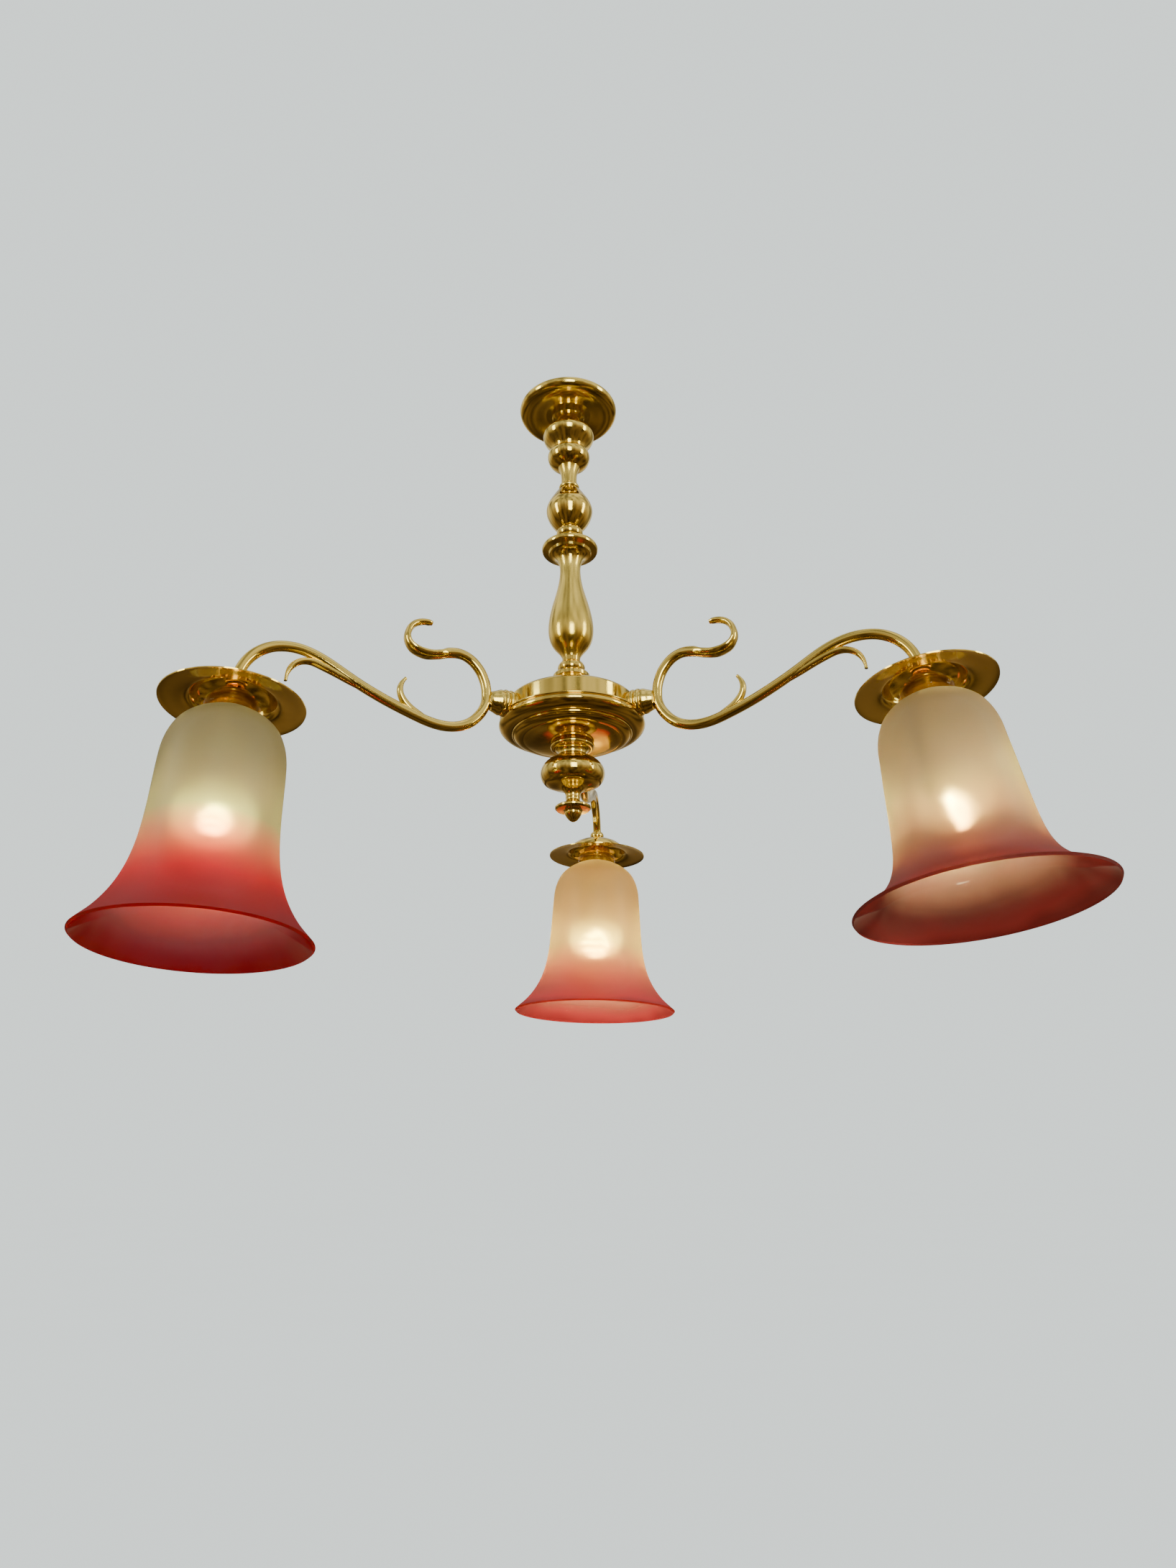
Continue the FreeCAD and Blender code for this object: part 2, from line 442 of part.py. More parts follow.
# Cables: supply down the stem to the drum, and one along each arm to its lampholder.
cables = [cylinder(STEM_BORE_R - 1.0, STEM_TOP - 1.0, -322.0)]
for arm in ARMS:
    cable_line = [(DRUM_R - 9.0, BOSS_Z), (64.0, BOSS_Z)] + cable_bend + arm_shapes[arm]["line"][3:]
    cables.append(place_arm(pipe(path_through(cable_line), CABLE_R), arm))
parts["cables"] = Part.makeCompound(cables)

for name in sorted(parts):
    parts[name].exportStep("parts/%s.step" % name)
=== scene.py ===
"""Three-arm brass ceiling light with frosted bell shades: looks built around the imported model."""
import math

import bmesh
import bpy
from mathutils import Matrix, Vector


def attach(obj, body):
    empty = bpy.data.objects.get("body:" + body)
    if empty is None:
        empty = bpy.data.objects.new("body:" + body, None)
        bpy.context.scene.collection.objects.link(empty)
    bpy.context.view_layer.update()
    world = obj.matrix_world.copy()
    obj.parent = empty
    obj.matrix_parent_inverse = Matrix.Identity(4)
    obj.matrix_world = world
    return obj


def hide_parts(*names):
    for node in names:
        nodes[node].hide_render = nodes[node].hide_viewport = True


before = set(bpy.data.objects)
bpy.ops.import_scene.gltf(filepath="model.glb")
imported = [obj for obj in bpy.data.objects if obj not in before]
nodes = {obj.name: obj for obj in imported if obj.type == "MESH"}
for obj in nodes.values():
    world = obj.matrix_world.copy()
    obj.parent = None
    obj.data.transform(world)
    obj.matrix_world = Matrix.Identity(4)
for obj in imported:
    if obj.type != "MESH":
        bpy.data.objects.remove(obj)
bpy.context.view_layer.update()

# ---- camera: below the light, looking up ---------------------------------------------------------
CAMERA_AT = (0.0087, -0.8230, -0.7103)
CAMERA_PITCH, CAMERA_YAW, CAMERA_ROLL = 20.58, 0.31, -1.03     # degrees
CAMERA_LENS = 23.31                                            # mm on a 36 mm tall frame

camera = bpy.data.objects.new("camera", bpy.data.cameras.new("camera"))
bpy.context.scene.collection.objects.link(camera)
camera.data.lens = CAMERA_LENS
camera.data.sensor_width = 36.0
camera.data.clip_start = 0.01
camera.matrix_world = (Matrix.Translation(CAMERA_AT)
                       @ Matrix.Rotation(math.radians(-CAMERA_YAW), 4, "Z")
                       @ Matrix.Rotation(math.radians(90 + CAMERA_PITCH), 4, "X")
                       @ Matrix.Rotation(math.radians(CAMERA_ROLL), 4, "Z"))
bpy.context.scene.camera = camera

# ---- arms and shades: where each shade's own axis stands, as in the CAD --------------------------
NECK_Z = -0.350
# azimuth, reach and rise in metres, outward lean and sideways set of the shade (degrees)
ARMS = {1: (-153.1, 0.2835, -0.0015, 2.6, 4.4), 2: (-24.9, 0.2955, 0.0034, 5.8, -3.9),
        3: (85.2, 0.2895, -0.0003, -0.5, 1.8)}
# Each blown shade: body radius, rim radius, length of bell, widening of the body, sharpness of flare
SHADES = {1: (44.9, 79.1, 173.7, 2.0, 4.0), 2: (45.7, 88.6, 161.4, 7.6, 7.5),
          3: (47.9, 86.1, 164.3, 5.9, 4.5)}
SHADE_NECK_R, SHADE_SHOULDER_Z = 20.0, -40.6


def shade_frame(arm):
    azimuth, reach, rise, lean, side = ARMS[arm]
    return (Matrix.Rotation(math.radians(azimuth), 4, "Z")
            @ Matrix.Translation((reach, 0, NECK_Z + rise))
            @ Matrix.Rotation(math.radians(side), 4, "X")
            @ Matrix.Rotation(math.radians(-lean), 4, "Y"))


def rim_height(arm):
    """Height of a shade's rim on its own axis, in metres."""
    return (SHADE_SHOULDER_Z - SHADES[arm][2]) / 1000


OWN_HEIGHT = "own_height"                  # mesh attribute: height on the piece's own axis, in metres


# ---- node-material helpers -----------------------------------------------------------------------
class Shader:
    """A small wrapper for building the nodes of a material or of the world."""

    def __init__(self, name, owner=None, output="ShaderNodeOutputMaterial"):
        self.owner = owner or bpy.data.materials.new(name)
        self.owner.use_nodes = True
        self.tree = self.owner.node_tree
        self.tree.nodes.clear()
        self.output = self.add(output)

    def add(self, kind, inputs=None, **settings):
        node = self.tree.nodes.new(kind)
        for key, value in settings.items():
            setattr(node, key, value)
        for key, value in (inputs or {}).items():
            if isinstance(value, bpy.types.NodeSocket):
                self.tree.links.new(value, node.inputs[key])
            else:
                node.inputs[key].default_value = value
        return node

    def math(self, operation, *values):
        return self.add("ShaderNodeMath", dict(enumerate(values)), operation=operation).outputs[0]

    def mix(self, share, first, second):
        return self.add("ShaderNodeMixShader", {"Fac": share, 1: first, 2: second}).outputs[0]

    def ramp(self, factor, stops):
        node = self.add("ShaderNodeValToRGB", {"Fac": factor})
        elements = node.color_ramp.elements
        while len(elements) < len(stops):
            elements.new(0.5)
        for element, (at, colour) in zip(elements, stops):
            element.position, element.color = at, (*colour, 1.0)
        return node.outputs["Color"]

    def noise(self, scale, detail=3.0, coordinates="Object", stretch=None):
        place = self.add("ShaderNodeTexCoord").outputs[coordinates]
        if stretch:
            place = self.add("ShaderNodeMapping", {"Vector": place, "Scale": stretch}).outputs["Vector"]
        grain = self.add("ShaderNodeTexNoise", {"Vector": place, "Scale": scale, "Detail": detail})
        return grain.outputs["Fac"]

    def span(self, value, low, high, out_low=0.0, out_high=1.0):
        return self.add("ShaderNodeMapRange", {"Value": value, "From Min": low, "From Max": high,
                                               "To Min": out_low, "To Max": out_high}).outputs["Result"]

    def bump(self, height, strength, distance):
        return self.add("ShaderNodeBump", {"Height": height, "Strength": strength,
                                           "Distance": distance}).outputs["Normal"]

    def fresnel(self, ior):
        """Reflection share of a thin wall: the same seen from either side."""
        return self.add("ShaderNodeFresnel", {"IOR": self.either_side(ior)}).outputs[0]

    def either_side(self, ior):
        back = self.add("ShaderNodeNewGeometry").outputs["Backfacing"]
        return self.span(back, 0, 1, ior, 1 / ior)

    def own_height(self):
        """Height on the piece's own axis, in metres."""
        return self.add("ShaderNodeAttribute", attribute_name=OWN_HEIGHT).outputs["Fac"]

    def surface(self, socket):
        self.tree.links.new(socket, self.output.inputs["Surface"])
        return self.owner


def brass(name, light, dark, roughness_low, roughness_high, grain):
    """Hand-polished brass: warm tone drifting a little, faint polishing lines, patches of soft tarnish."""
    s = Shader(name)
    patches = s.noise(9.0, 4.0)
    specks = s.noise(160.0, 3.0)
    lines = s.noise(30.0, 2.0, stretch=(1.0, 1.0, 14.0))
    colour = s.ramp(patches, [(0.30, dark), (0.62, light)])
    roughness = s.span(s.math("MULTIPLY", patches, specks), 0.12, 0.42, roughness_low, roughness_high)
    height = s.math("ADD", lines, specks)
    body = s.add("ShaderNodeBsdfPrincipled", {
        "Base Color": colour, "Metallic": 1.0, "Roughness": roughness,
        "Normal": s.bump(height, grain, 0.00012)})
    return s.surface(body.outputs["BSDF"])


polished_brass = brass("polished_brass", (0.86, 0.65, 0.16), (0.76, 0.52, 0.10), 0.07, 0.18, grain=0.10)
satin_brass = brass("satin_brass", (0.90, 0.68, 0.16), (0.82, 0.58, 0.11), 0.18, 0.30, grain=0.2)


# ---- mesh helpers --------------------------------------------------------------------------------
ON_AXIS = 1e-6                             # a profile point nearer the axis than this is one vertex (mm)
LATHE_CREASE, SWEEP_CREASE = 35.0, 40.0    # edges sharper than this stay sharp (degrees)


def curve_points(run, steps):
    """Points of a smooth curve (Catmull-Rom) through a run of (radius, height) pairs."""
    before = [2 * run[0][i] - run[1][i] for i in (0, 1)]
    after = [2 * run[-1][i] - run[-2][i] for i in (0, 1)]
    padded = [before, *run, after]
    points = []
    for k in range(1, len(padded) - 2):
        p0, p1, p2, p3 = (Vector(padded[k + i]) for i in (-1, 0, 1, 2))
        for step in range(steps):
            t = step / steps
            points.append(tuple(0.5 * ((2 * p1) + (p2 - p0) * t
                                       + (2 * p0 - 5 * p1 + 4 * p2 - p3) * t ** 2
                                       + (3 * p1 - p0 - 3 * p2 + p3) * t ** 3)))
    points.append(tuple(run[-1]))
    return points


def new_object(name, mesh, material, matrix, body, *cad_nodes, slot=None):
    """Piece whose mesh is set in its place in the light; its own height stays with it as an attribute."""
    own_height = mesh.attributes.new(OWN_HEIGHT, "FLOAT", "POINT")
    own_height.data.foreach_set("value", [vertex.co.z for vertex in mesh.vertices])
    mesh.transform(matrix)
    obj = bpy.data.objects.new(name, mesh)
    bpy.context.scene.collection.objects.link(obj)
    mesh.materials.append(material)
    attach(obj, body)
    if cad_nodes:
        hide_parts(*cad_nodes)
    return obj


def finished(name, bm, crease):
    """Mesh from a bmesh: normals outward, smooth except at edges sharper than the crease (degrees)."""
    bmesh.ops.recalc_face_normals(bm, faces=bm.faces)
    mesh = bpy.data.meshes.new(name)
    bm.to_mesh(mesh)
    bm.free()
    mesh.shade_smooth()
    mesh.set_sharp_from_angle(angle=math.radians(crease))
    return mesh


def lathe(name, profile, segments):
    """Mesh turned about Z from a closed profile in mm."""
    bm = bmesh.new()
    rings = []
    for radius, height in profile:
        if radius < ON_AXIS:
            rings.append([bm.verts.new((0, 0, height / 1000))])
            continue
        rings.append([bm.verts.new((radius / 1000 * math.cos(2 * math.pi * k / segments),
                                    radius / 1000 * math.sin(2 * math.pi * k / segments), height / 1000))
                      for k in range(segments)])
    for a, b in [*zip(rings, rings[1:]), (rings[-1], rings[0])]:
        for k in range(segments):
            n = (k + 1) % segments
            corners = [a[k % len(a)], a[n % len(a)], b[n % len(b)], b[k % len(b)]]
            unique = list(dict.fromkeys(corners))
            if len(unique) > 2:
                bm.faces.new(unique)
    return finished(name, bm, LATHE_CREASE)


def offset(points, distance):
    """A run of points moved sideways by a wall thickness (positive: to the left of travel)."""
    moved = []
    for k, (r, z) in enumerate(points):
        before, after = points[max(k - 1, 0)], points[min(k + 1, len(points) - 1)]
        along = Vector((after[0] - before[0], after[1] - before[1])).normalized()
        moved.append((r - along.y * distance, z + along.x * distance))
    return moved


def sweep(name, centres, sections):
    """Closed mesh through a run of centres (x, z), each carrying a ring of (along-normal, y) pairs."""
    bm = bmesh.new()
    rings = []
    for k, (x, z) in enumerate(centres):
        before, after = centres[max(k - 1, 0)], centres[min(k + 1, len(centres) - 1)]
        along = Vector((after[0] - before[0], after[1] - before[1])).normalized()
        rings.append([bm.verts.new(((x - along.y * up) / 1000, y / 1000, (z + along.x * up) / 1000))
                      for up, y in sections[k]])
    count = len(rings[0])
    for a, b in zip(rings, rings[1:]):
        for k in range(count):
            bm.faces.new([a[k], a[(k + 1) % count], b[(k + 1) % count], b[k]])
    bm.faces.new(rings[0])
    bm.faces.new(rings[-1])
    return finished(name, bm, SWEEP_CREASE)


# ---- small fittings: plain metals and plastics ---------------------------------------------------
def plain(name, colour, shadow, roughness, metallic, grain_scale, grain):
    """Everyday finish: two close tones broken up by grain, with a little surface texture."""
    s = Shader(name)
    grain_map = s.noise(grain_scale, 4.0)
    body = s.add("ShaderNodeBsdfPrincipled", {
        "Base Color": s.ramp(grain_map, [(0.35, shadow), (0.65, colour)]), "Metallic": metallic,
        "Roughness": s.span(grain_map, 0.3, 0.7, roughness, roughness + 0.12),
        "Normal": s.bump(grain_map, grain, 0.0001)})
    return s.surface(body.outputs["BSDF"])


nickel = plain("nickel_cap", (0.72, 0.70, 0.66), (0.60, 0.58, 0.54), 0.22, 1.0, 220.0, 0.2)
insulator = plain("holder_insulator", (0.86, 0.84, 0.78), (0.78, 0.75, 0.68), 0.42, 0.0, 90.0, 0.15)
sheath = plain("cable_sheath", (0.78, 0.70, 0.50), (0.66, 0.58, 0.40), 0.55, 0.0, 400.0, 0.5)
zinc = plain("zinc_steel", (0.60, 0.61, 0.62), (0.48, 0.49, 0.50), 0.34, 1.0, 60.0, 0.2)

FINISHES = {"shade_ring": satin_brass, "holder_shell": satin_brass, "pear_baluster": satin_brass,
            "upper_neck": satin_brass, "bulb_cap": nickel, "holder_core": insulator,
            "terminal_block": insulator, "cables": sheath, "ceiling_plate": zinc, "stem_nuts": zinc}

# ---- shades: frosted outside, clear at the neck, running to cranberry red at the rim -------------
FROST_BLUR, FROST_IOR = 1.0, 1.08          # how far the frosting scatters, and bends, what shows through
GLASS_IOR, INNER_IOR = 1.45, 1.5
SPREAD_SHARE, THROUGH_SHARE = 0.35, 0.35   # of the frosted face: light spread on, and seen through
CLEAR_GLOSS, FROST_GLOSS, INNER_GLOSS = 0.8, 0.06, 0.22    # most that each kind of surface reflects
THROUGH_TINT = (0.92, 1.20, 0.78, 1.0)     # the body of the glass turns the light of the bulb more yellow
NECK_END = -0.0415                         # metres down the shade's own axis, where frosting begins
# Each shade has its own colour, partly that of its glass and partly painted light and shade for how
# brightly
# that shade is lit: how far down the bell the red starts and is full (as shares of its length), then the
# tones of body, blush and red.
SHADE_TONES_AND_PAINTED_LIGHT = {
    1: (0.52, 0.84, (0.20, 0.165, 0.115), (0.48, 0.10, 0.075), (0.72, 0.009, 0.022)),
    2: (0.50, 1.00, (0.25, 0.175, 0.120), (0.27, 0.125, 0.092), (0.48, 0.060, 0.062)),
    3: (0.60, 0.99, (0.38, 0.23, 0.11), (0.66, 0.20, 0.13), (0.80, 0.060, 0.070)),
}
MOUTH = 0.05                               # how far up from the rim the inner face is tinted (m)
# Painted sheen inside the mouth, a pale diffuse layer standing for the reflection seen there: (share of the
# way up the mouth, share of sheen), and its tones
INNER_PAINTED_SHEEN = [(0.0, 0.08), (0.36, 0.52), (0.62, 0.36), (1.0, 0.0)]
PAINTED_SHEEN_TONES = {1: (0.26, 0.15, 0.30), 2: (0.17, 0.105, 0.120), 3: (0.66, 0.34, 0.34)}


def shade_colour(s, arm):
    # each shade's tones: its glass colour, with painted light and shade for how that shade is lit
    starts, full, body, blush, red = SHADE_TONES_AND_PAINTED_LIGHT[arm]
    drift = s.span(s.noise(14.0, 2.0), 0.3, 0.7, -0.004, 0.004)
    height = s.math("ADD", s.own_height(), drift)
    share = s.span(height, NECK_END, rim_height(arm))
    edge = tuple(0.6 * c for c in red)
    stops = [(starts, body), ((starts + full) / 2, blush), (0.97 * full, red), (1.0, edge)]
    return height, s.ramp(share, stops)


def frosted(arm):
    """Outer face: satin-frosted glass that spreads the light behind it; clear above the shoulder."""
    s = Shader("frosted_glass_%d" % arm)
    height, colour = shade_colour(s, arm)
    normal = s.bump(s.noise(900.0, 2.0), 0.25, 0.00006)
    lit = s.add("ShaderNodeBsdfDiffuse", {"Color": colour, "Normal": normal}).outputs[0]
    spread = s.add("ShaderNodeBsdfTranslucent", {"Color": colour, "Normal": normal}).outputs[0]
    passed = s.add("ShaderNodeMixRGB", {"Fac": 1.0, "Color1": colour, "Color2": THROUGH_TINT},
                   blend_type="MULTIPLY").outputs["Color"]
    through = s.add("ShaderNodeBsdfRefraction", {"Color": passed, "Roughness": FROST_BLUR, "Normal": normal,
                                                 "IOR": s.either_side(FROST_IOR)}).outputs[0]
    body = s.mix(THROUGH_SHARE, s.mix(SPREAD_SHARE, lit, spread), through)
    clear = s.add("ShaderNodeBsdfTransparent", {"Color": (0.97, 0.93, 0.86, 1.0)}).outputs[0]
    frosting = s.span(height, NECK_END, NECK_END - 0.002)
    body = s.mix(frosting, clear, body)
    gloss = s.add("ShaderNodeBsdfGlossy", {"Color": (1, 1, 1, 1), "Normal": normal,
                                           "Roughness": s.span(frosting, 0, 1, 0.03, 0.42)}).outputs[0]
    share = s.math("MINIMUM", s.fresnel(GLASS_IOR), s.span(frosting, 0, 1, CLEAR_GLOSS, FROST_GLOSS))
    return s.surface(s.mix(share, body, gloss))


def glazed(arm):
    """Inner face: smooth clear glass in front of the frosting, with a painted sheen in the mouth."""
    s = Shader("inner_glass_%d" % arm)
    height, _ = shade_colour(s, arm)
    rim = rim_height(arm)
    upward = s.span(height, rim, rim + MOUTH)
    soft = s.ramp(upward, [(0.0, (0.88, 0.62, 0.66)), (1.0, (0.98, 0.95, 0.90))])
    clear = s.add("ShaderNodeBsdfTransparent", {"Color": soft}).outputs[0]
    # painted sheen: a pale diffuse layer, banded up the mouth, in place of the reflection inside it
    painted_sheen = s.add("ShaderNodeBsdfDiffuse", {"Color": (*PAINTED_SHEEN_TONES[arm], 1.0)}).outputs[0]
    clear = s.mix(s.ramp(upward, [(at, (share,) * 3) for at, share in INNER_PAINTED_SHEEN]), clear, painted_sheen)
    gloss = s.add("ShaderNodeBsdfGlossy", {"Color": (1, 1, 1, 1), "Roughness": 0.07,
                                           "Normal": s.bump(s.noise(26.0, 2.0), 0.12, 0.0006)}).outputs[0]
    share = s.math("MINIMUM", s.fresnel(INNER_IOR), INNER_GLOSS)
    return s.surface(s.mix(share, clear, gloss))


# ---- bulbs: clear or pearl envelope round a glowing filament -------------------------------------
GLOW, HALO_REACH = (1.0, 0.92, 0.38), 0.026    # colour, and how far the halo runs up and down (m)


def envelope(name, veil_strength, middle):
    """Bulb glass with a faint glow of its own in front of the filament, gone above and below it."""
    s = Shader(name)
    away = s.math("ABSOLUTE", s.math("SUBTRACT", s.own_height(), middle / 1000))
    near = s.span(away, 0.0, HALO_REACH, 1.0, 0.0)
    clear = s.add("ShaderNodeBsdfTransparent", {"Color": (0.97, 0.96, 0.93, 1.0)}).outputs[0]
    facing = s.add("ShaderNodeLayerWeight", {"Blend": 0.35}).outputs["Facing"]
    strength = s.math("MULTIPLY", s.span(facing, 0.0, 0.9, veil_strength, 0.0), near)
    veil = s.add("ShaderNodeEmission", {"Color": (*GLOW, 1.0), "Strength": strength}).outputs[0]
    body = s.add("ShaderNodeAddShader", {0: clear, 1: veil}).outputs[0]
    gloss = s.add("ShaderNodeBsdfGlossy", {
        "Color": (1, 1, 1, 1), "Roughness": s.span(s.noise(40.0), 0.3, 0.7, 0.03, 0.09)}).outputs[0]
    return s.surface(s.mix(s.fresnel(GLASS_IOR), body, gloss))


def filament_material(name, strength):
    """Incandescent wire, a little hotter in places."""
    s = Shader(name)
    return s.surface(s.add("ShaderNodeEmission", {
        "Color": s.ramp(s.noise(60.0, 2.0), [(0.3, (1.0, 0.90, 0.36)), (0.7, (1.0, 0.96, 0.46))]),
        "Strength": strength}).outputs[0])


# Each lit bulb: faint glow of the glass, strength of the filament, its half width and height (mm)
BULBS = {1: (9.0, 250.0, 9.5, -126.0), 2: (5.0, 900.0, 13.5, -133.0), 3: (13.0, 230.0, 13.5, -132.0)}
LOOPED = (2,)                              # this bulb has one open loop of wire, the others a coil

# ---- shade and bulb shapes, down the shade's own axis (mm) ---------------------------------------
SHADE_WALL, BELL_SEGMENTS = 2.2, 128
FLARE_FROM = 45.0                          # depth below the neck where the bell starts to open
# Rounded shoulder: (share of the way from neck to body radius, depth below the neck)
SHOULDER = ((0.0, 0.0), (0.136, 1.8), (0.442, 7.0), (0.698, 14.0), (0.865, 23.0), (0.961, 33.4),
            (0.995, 45.4), (1.0, 61.4))
NECK_OUTSIDE = [(18.6, -31.2), (20.0, -32.4), (20.6, -33.0), (21.0, -33.8), (20.6, -34.6), (20.0, -35.2),
                (20.6, -35.9), (21.0, -36.8), (20.6, -37.7), (20.0, -38.4)]
NECK_INSIDE = [(17.6, -39.6), (17.6, -33.9), (14.8, -33.9), (14.8, -31.2)]
BULB_OUTSIDE = [(11.53, -66.0), (11.6, -72.0), (14.2, -82.0), (21.4, -96.0), (27.8, -109.0), (30.0, -121.0),
                (27.6, -134.6), (19.6, -145.6), (9.6, -150.8), (0.0, -152.0)]
BULB_WALL = 1.0
FILAMENT_R, FILAMENT_STEPS, COIL_TURNS = 1.0, 96, 5
WIRE_SIDES, OFF_AXIS = 8, Vector((0.3, 0.1, 1.0))    # OFF_AXIS is never along the wire
LOOP_GAP, LOOP_DEPTH = 0.02, 0.3           # opening at the top of the loop, and its bend out of flat


def bell_outside(arm, steps=10):
    """Outside of a shade's bell from neck to rim, as (radius, height) points."""
    body, rim, length, widening, flare = SHADES[arm]
    last_share, last_depth = SHOULDER[-1]
    rings = list(SHOULDER)
    rings += [(last_share, last_depth + (length - last_depth) * i / steps) for i in range(1, steps + 1)]
    points = []
    for share, depth in rings:
        down = max(0.0, (depth - FLARE_FROM) / (length - FLARE_FROM))
        radius = SHADE_NECK_R + (body - SHADE_NECK_R) * share
        radius += widening * down + (rim - body - widening) * down ** flare
        points.append((radius, SHADE_SHOULDER_Z - depth))
    return points


def bell_mesh(name, arm):
    outside = curve_points(bell_outside(arm), 5)
    inside = offset(outside, -SHADE_WALL)
    profile = NECK_OUTSIDE + outside + inside[::-1] + NECK_INSIDE
    mesh = lathe(name, profile, segments=BELL_SEGMENTS)
    first_inner = len(NECK_OUTSIDE) + len(outside)          # rings before this one face outward
    for face in mesh.polygons:
        ring = min(v // BELL_SEGMENTS for v in face.vertices)
        face.material_index = 1 if ring >= first_inner else 0
    return mesh


def loop_point(share, half):
    """Point on a heart-shaped loop, at a share of the way round from its notch."""
    t = math.pi * (LOOP_GAP + 2 * (1 - LOOP_GAP) * share)
    across = math.sin(t) ** 3
    up = (13 * math.cos(t) - 5 * math.cos(2 * t) - 2 * math.cos(3 * t)) / 16
    return Vector((LOOP_DEPTH * half * across, half * across, half * up))


def coil_point(share, half):
    """Point on a coil wound over a ball, at a share of the way from its top."""
    down, turned = math.pi * share, 2 * math.pi * COIL_TURNS * share
    out = math.sin(down)
    return half * Vector((out * math.cos(turned), out * math.sin(turned), math.cos(down)))


def filament_line(arm):
    """Wire inside a bulb, as points in mm."""
    _, _, half, middle = BULBS[arm]
    shape = loop_point if arm in LOOPED else coil_point
    return [shape(k / FILAMENT_STEPS, half) + Vector((0, 0, middle)) for k in range(FILAMENT_STEPS + 1)]


def add_filament(bm, line):
    rings = []
    for k, point in enumerate(line):
        along = (line[min(k + 1, len(line) - 1)] - line[max(k - 1, 0)]).normalized()
        side = along.cross(OFF_AXIS).normalized()
        other = along.cross(side)
        angles = [2 * math.pi * j / WIRE_SIDES for j in range(WIRE_SIDES)]
        rings.append([bm.verts.new((point + FILAMENT_R * (side * math.cos(t) + other * math.sin(t))) / 1000)
                      for t in angles])
    faces = []
    for a, b in zip(rings, rings[1:]):
        for j in range(WIRE_SIDES):
            n = (j + 1) % WIRE_SIDES
            faces.append(bm.faces.new([a[j], a[n], b[n], b[j]]))
    faces += [bm.faces.new(rings[0][::-1]), bm.faces.new(rings[-1])]
    for face in faces:
        face.material_index = 1
    bmesh.ops.recalc_face_normals(bm, faces=faces)


def bulb_mesh(name, arm):
    outside = curve_points(BULB_OUTSIDE, 4)
    outside[-1] = (0.0, BULB_OUTSIDE[-1][1])
    inside = offset(outside[:-1], -BULB_WALL) + [(0.0, BULB_OUTSIDE[-1][1] + BULB_WALL)]
    inside[0] = (inside[0][0], BULB_OUTSIDE[0][1])
    mesh = lathe(name, outside + inside[::-1], segments=48)
    bm = bmesh.new()
    bm.from_mesh(mesh)
    add_filament(bm, filament_line(arm))
    bm.to_mesh(mesh)
    bm.free()
    return mesh


for arm in ARMS:
    place = shade_frame(arm)
    shade = new_object("bell_shade_%d" % arm, bell_mesh("bell_shade_%d" % arm, arm), frosted(arm),
                       place, "shade_%d" % arm, "shade_glass_%d" % arm, slot="frosted_red_glass")
    shade.data.materials.append(glazed(arm))
    veil, strength, _, middle = BULBS[arm]
    bulb = new_object("bulb_%d_glass" % arm, bulb_mesh("bulb_%d_glass" % arm, arm),
                      envelope("bulb_glass_%d" % arm, veil, middle), place,
                      "bulb_%d" % arm, "bulb_glass_%d" % arm, slot="bulb_glass")
    bulb.data.materials.append(filament_material("filament_%d" % arm, strength))

# ---- scroll leaves: a rod from the boss that opens into a trough, then curls to a blunt tip ------
SCROLL_LINE = [(81.3, -333.5), (81.8, -326.5), (83.6, -319.4), (87.4, -311.2), (93.8, -303.9),
               (100.8, -299.8), (108.5, -298.4), (117.5, -299.8), (126.3, -302.4), (134.5, -304.0),
               (142.4, -303.2), (148.4, -300.3), (151.7, -295.6), (152.4, -289.6), (150.2, -282.6),
               (145.2, -277.4), (138.6, -275.0), (131.9, -274.9)]
# share of the way along: (half height, half width, depth of the trough as a share of the height)
SCROLL_SIZES = [(0.00, 4.4, 4.4, 0.0), (0.30, 4.4, 4.4, 0.0), (0.40, 4.8, 4.9, 0.1), (0.47, 5.1, 6.4, 0.8),
                (0.54, 5.2, 7.2, 1.2), (0.61, 4.7, 7.0, 1.2), (0.70, 3.8, 5.8, 0.7), (0.80, 3.1, 4.4, 0.2),
                (0.90, 2.8, 3.8, 0.0), (0.97, 2.6, 3.4, 0.0), (1.00, 1.8, 2.6, 0.0)]
SCROLL_RING = 28


def sized(share):
    """Half height, half width and trough depth at a share of the way along the scroll."""
    for low, high in zip(SCROLL_SIZES, SCROLL_SIZES[1:]):
        if share <= high[0]:
            mix = (share - low[0]) / (high[0] - low[0])
            mix = mix * mix * (3 - 2 * mix)
            return [a + (b - a) * mix for a, b in zip(low[1:], high[1:])]
    return SCROLL_SIZES[-1][1:]


def scroll_mesh(name):
    centres = curve_points(SCROLL_LINE, 6)
    sections = []
    for k in range(len(centres)):
        half_height, half_width, trough = sized(k / (len(centres) - 1))
        ring = []
        for j in range(SCROLL_RING):
            angle = 2 * math.pi * j / SCROLL_RING
            across, up = math.cos(angle), math.sin(angle)
            hollow = max(up, 0.0) ** 1.5 * trough * half_height
            ring.append((half_height * up - hollow, half_width * across))
        sections.append(ring)
    return sweep(name, centres, sections)


for arm in ARMS:
    new_object("scroll_%d" % arm, scroll_mesh("scroll_%d" % arm), polished_brass,
               Matrix.Rotation(math.radians(ARMS[arm][0]), 4, "Z"), "frame", "scroll_leaf_%d" % arm)

# ---- finishes for the pieces shown as imported from model.glb ------------------------------------
for name, obj in nodes.items():
    kind = name.rstrip("0123456789").rstrip("_")
    obj.data.materials.clear()
    obj.data.materials.append(FINISHES.get(kind, polished_brass))

# ---- floor, surroundings and lights --------------------------------------------------------------
BACKDROP = (0.585, 0.637, 0.622)
BACKDROP_STRENGTH = 1.95
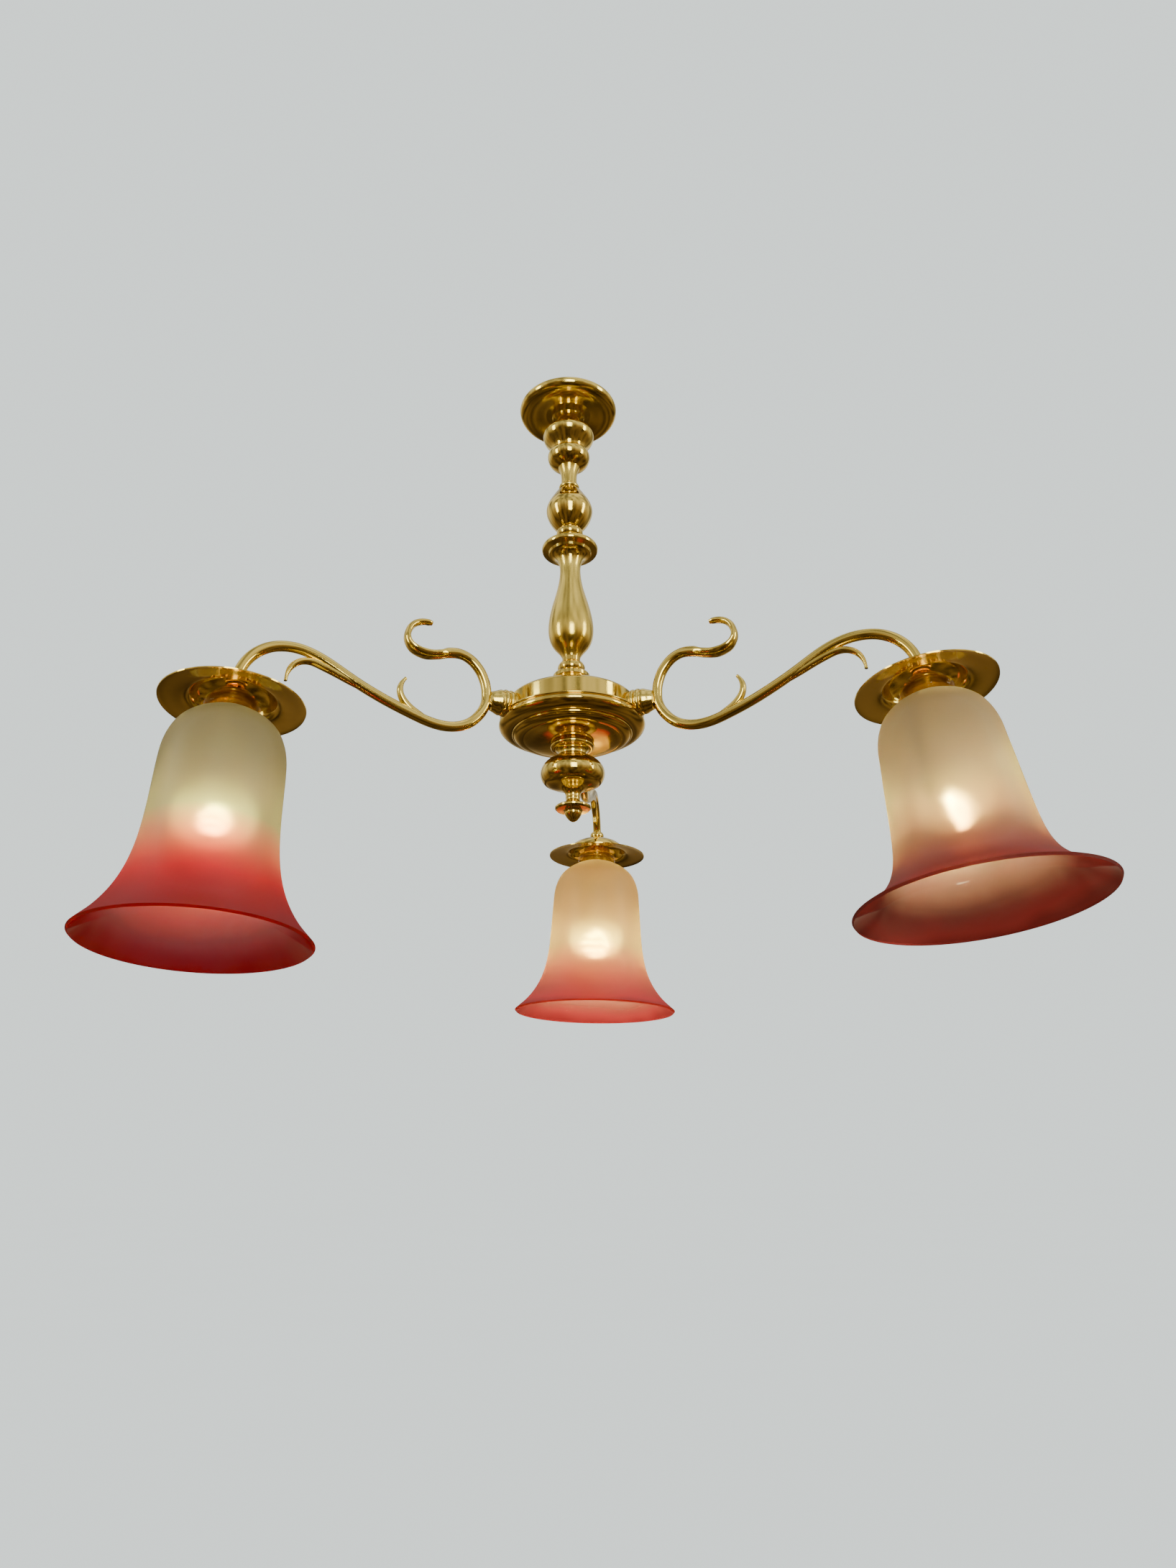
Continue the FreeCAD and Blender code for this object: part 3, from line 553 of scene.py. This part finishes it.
# Tones of the room from straight down (0) through the horizon (0.5) to straight up (1)
ROOM_TONES = [(0.0, (0.085, 0.053, 0.028)), (0.38, (0.17, 0.115, 0.065)), (0.50, (0.40, 0.32, 0.22)),
              (0.60, (0.62, 0.58, 0.50)), (1.0, (0.80, 0.80, 0.76))]
ROOM_BANDS, DIM_BAND, LIT_BAND = 3.5, 0.30, 1.45    # upright bands of light and dark round the room
FLOOR_Z, FLOOR_HALF = -2.4, 60.0


def floor():
    """A plain pale floor that runs into the wall without a line; the brass does not mirror it."""
    mesh = bpy.data.meshes.new("floor")
    corners = [(-FLOOR_HALF, -FLOOR_HALF, FLOOR_Z), (FLOOR_HALF, -FLOOR_HALF, FLOOR_Z),
               (FLOOR_HALF, FLOOR_HALF, FLOOR_Z), (-FLOOR_HALF, FLOOR_HALF, FLOOR_Z)]
    mesh.from_pydata(corners, [], [(0, 1, 2, 3)])
    obj = bpy.data.objects.new("floor", mesh)
    bpy.context.scene.collection.objects.link(obj)
    s = Shader("floor")
    tone = s.ramp(s.noise(0.6, 2.0), [(0.3, tuple(0.99 * c for c in BACKDROP)), (0.7, BACKDROP)])
    mesh.materials.append(s.surface(s.add("ShaderNodeEmission", {
        "Color": tone, "Strength": BACKDROP_STRENGTH}).outputs[0]))
    obj.visible_glossy = obj.visible_diffuse = obj.visible_transmission = False


def surroundings():
    """A plain pale wall as the camera sees it; in reflections a pale ceiling over a dim brown room."""
    world = bpy.data.worlds.new("surroundings")
    bpy.context.scene.world = world
    s = Shader("surroundings", world, "ShaderNodeOutputWorld")
    wall = s.add("ShaderNodeBackground", {"Color": (*BACKDROP, 1.0), "Strength": BACKDROP_STRENGTH})
    direction = s.add("ShaderNodeTexCoord").outputs["Generated"]
    upward = s.add("ShaderNodeSeparateXYZ", {"Vector": direction}).outputs["Z"]
    bands = s.noise(1.0, 1.0, "Generated", (ROOM_BANDS, ROOM_BANDS, 0.3))
    room = s.add("ShaderNodeBackground", {"Color": s.ramp(s.span(upward, -1.0, 1.0), ROOM_TONES),
                                          "Strength": s.span(bands, 0.35, 0.65, DIM_BAND, LIT_BAND)})
    seen = s.add("ShaderNodeLightPath").outputs["Is Camera Ray"]
    s.surface(s.mix(seen, room.outputs[0], wall.outputs[0]))


# Soft lights, all aimed at the light: name, place, size (m), power (W), colour, mirrored in the brass
SOFTBOXES = [("key", (0.25, -2.6, -0.2), (0.8, 1.6), 34.0, (0.96, 1.0, 0.80), True),
             ("left", (-2.4, -1.2, 0.1), (0.5, 1.6), 20.0, (0.98, 1.0, 0.68), True),
             ("right", (2.5, -0.8, 0.2), (0.5, 1.6), 20.0, (0.98, 1.0, 0.68), True),
             ("behind", (0.3, 2.6, -0.6), (1.6, 1.2), 24.0, (0.92, 0.96, 1.0), False)]
CENTRE = Vector((0.0, 0.0, -0.30))


def softbox(name, at, size, power, colour, mirrored):
    data = bpy.data.lights.new(name, "AREA")
    data.shape, data.size, data.size_y = "RECTANGLE", size[0], size[1]
    data.energy, data.color = power, colour
    obj = bpy.data.objects.new(name, data)
    bpy.context.scene.collection.objects.link(obj)
    obj.location = at
    obj.rotation_euler = (CENTRE - Vector(at)).to_track_quat("-Z", "Y").to_euler()
    obj.visible_glossy = mirrored


floor()
surroundings()
for light in SOFTBOXES:
    softbox(*light)
